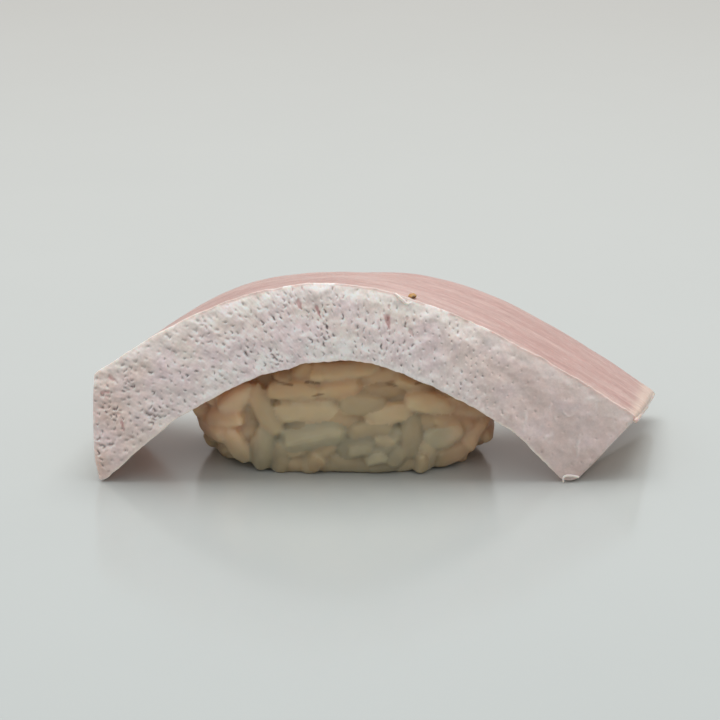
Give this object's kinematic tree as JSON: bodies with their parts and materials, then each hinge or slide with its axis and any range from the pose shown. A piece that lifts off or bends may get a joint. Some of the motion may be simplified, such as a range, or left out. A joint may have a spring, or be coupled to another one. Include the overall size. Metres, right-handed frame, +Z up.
{
  "type": "yellowtail nigiri",
  "caption": "One piece of nigiri: a thick, pale wedge of raw fish bent like an arch over a small pressed ball of rice grains, lying on its flat foot.",
  "frame": {"origin": "on the plate's plane, below the middle of the whole piece's bounding box", "axes": "+X along the slice towards its longer, thinner end, +Y from the thick skin side to the thin back edge, +Z up"},
  "size_m": [0.0802, 0.0272, 0.0283],
  "materials": {
    "fish": "moist raw fish, pale lilac skin side with small pores, pink top face",
    "rice": "moist cooked rice, translucent ivory"
  },
  "bodies": {
    "root": {"fish": "fish", "rice": "rice"}
  },
  "joints": []
}
